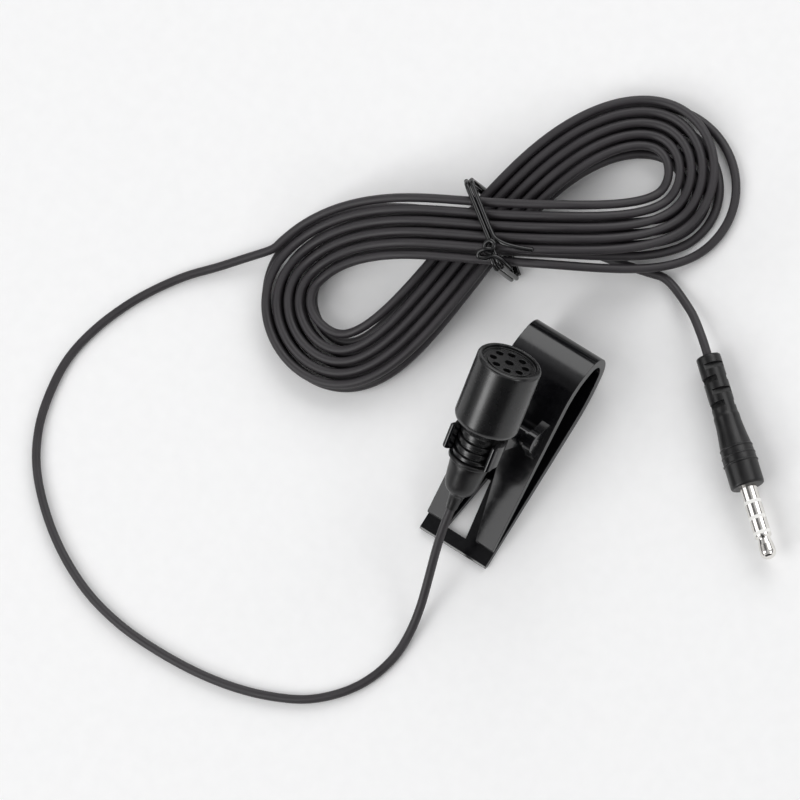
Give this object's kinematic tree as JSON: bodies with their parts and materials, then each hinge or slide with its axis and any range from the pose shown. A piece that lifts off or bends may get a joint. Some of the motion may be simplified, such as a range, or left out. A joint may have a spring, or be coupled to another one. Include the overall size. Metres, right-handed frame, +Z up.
{
  "type": "lavalier microphone",
  "caption": "Electret microphone head held by a snap ring on a tilting sprung clip, with a tied hank of thin cable and a four-pole 3.5 mm plug.",
  "frame": {"origin": "On the ground under the middle of the clip and head, at the bottom centre of their box.", "axes": "+Z up; +Y along the clip from its jaw to its nose; +X across the clip. The clip lies on its back arm, and the cable and plug lie beside it on the ground."},
  "size_m": [0.1505, 0.1499, 0.0386],
  "materials": {
    "clip_plastic": "glossy black moulded nylon",
    "housing_plastic": "satin black moulded ABS",
    "soft_pvc": "soft black PVC, moulded",
    "cable_jacket": "satin black PVC jacket, extruded",
    "tie_coating": "glossy black plastic-coated wire",
    "pin_steel": "bright drawn steel",
    "screen_cloth": "black nonwoven cloth",
    "soft_rubber": "black rubber",
    "can_aluminium": "drawn aluminium",
    "insulator": "white moulded plastic",
    "film": "metallised film",
    "board": "green glass-epoxy board",
    "solder": "bright solder",
    "wire_insulation": "red wire insulation",
    "crimp_brass": "plain brass",
    "contact_metal": "nickel-plated brass, turned"
  },
  "bodies": {
    "microphone": {"mic_housing": "housing_plastic", "grille_cap": "housing_plastic", "dust_screen": "screen_cloth", "capsule_gasket": "soft_rubber", "electret_can": "can_aluminium", "electret_ring": "insulator", "diaphragm": "film", "capsule_board": "board", "solder_joints": "solder", "core_wires": "wire_insulation", "cord_stub": "cable_jacket", "cord_crimp": "crimp_brass", "rear_boot": "soft_pvc", "lead_mic_side": "cable_jacket", "cable_hank": "cable_jacket", "twist_tie": "tie_coating", "lead_plug_side": "cable_jacket", "plug_overmould": "soft_pvc", "plug_collar": "insulator", "plug_sleeve": "contact_metal", "plug_ring_2": "contact_metal", "plug_ring_1": "contact_metal", "plug_tip": "contact_metal", "plug_insulator_1": "insulator", "plug_insulator_2": "insulator", "plug_insulator_3": "insulator", "plug_core": "insulator", "plug_rod": "crimp_brass"},
    "holder": {"holder_ring": "clip_plastic"},
    "clip": {"visor_clip": "clip_plastic", "hinge_pin": "pin_steel"}
  },
  "joints": [
    {"name": "neck_swivel", "type": "hinge", "parent": "microphone", "child": "holder", "pos_m": [0, -0.00362, 0.02313], "axis": [0, 0.866, 0.5], "range_deg": [-40, 40]},
    {"name": "clip_tilt", "type": "hinge", "parent": "holder", "child": "clip", "pos_m": [0, 0.00263, 0.01231], "axis": [1, 0, 0], "range_deg": [-12, 40]}
  ]
}
